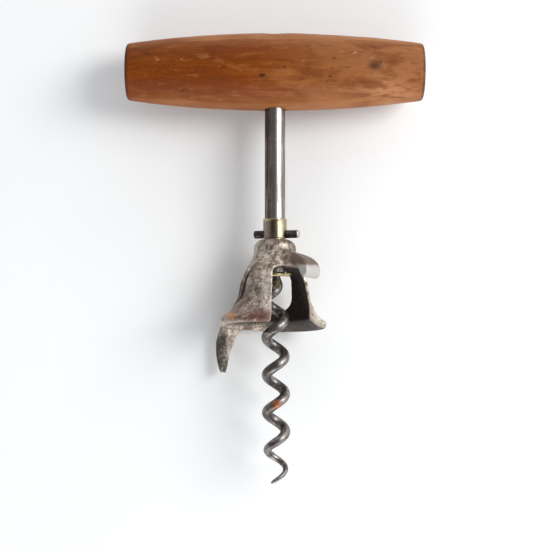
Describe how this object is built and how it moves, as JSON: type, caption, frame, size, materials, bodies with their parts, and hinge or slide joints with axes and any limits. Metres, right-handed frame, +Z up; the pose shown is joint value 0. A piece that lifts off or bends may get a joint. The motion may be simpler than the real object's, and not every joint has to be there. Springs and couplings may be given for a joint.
{
  "type": "bell corkscrew",
  "caption": "T-handled waiter's corkscrew with a turned wooden handle, wire worm and a loose cast bell with cap lifter and wire cutter.",
  "frame": {"origin": "centre of the bounding box at the table plane, the tool lying on its side", "axes": "+X along the handle, +Y from the worm's tip to the handle, +Z up off the table"},
  "size_m": [0.1, 0.1516, 0.0362],
  "materials": {
    "handle_wood": "aged varnish",
    "shank_steel": "worn polish",
    "collar_brass": "tarnished",
    "pin_steel": "dark",
    "bell_iron": "worn nickel plate, pitted",
    "washer_brass": "dull",
    "worm_steel": "dark, lightly rusted"
  },
  "bodies": {
    "tool": {"handle": "handle_wood", "rivet_washer": "shank_steel", "shank": "shank_steel", "stop_collar": "collar_brass", "cross_pin": "pin_steel", "worm": "worm_steel"},
    "washer": {"thrust_washer": "washer_brass"},
    "bell": {"bell_frame": "bell_iron"}
  },
  "joints": [
    {"name": "end_play", "type": "slide", "parent": "tool", "child": "washer", "axis": [0, -0.9997, 0.0262], "range_m": [0, 0.0012]},
    {"name": "bell_spin", "type": "hinge", "parent": "washer", "child": "bell", "pos_m": [0, -0.02337, 0.01529], "axis": [0, 0.9997, -0.0262], "continuous": true}
  ]
}
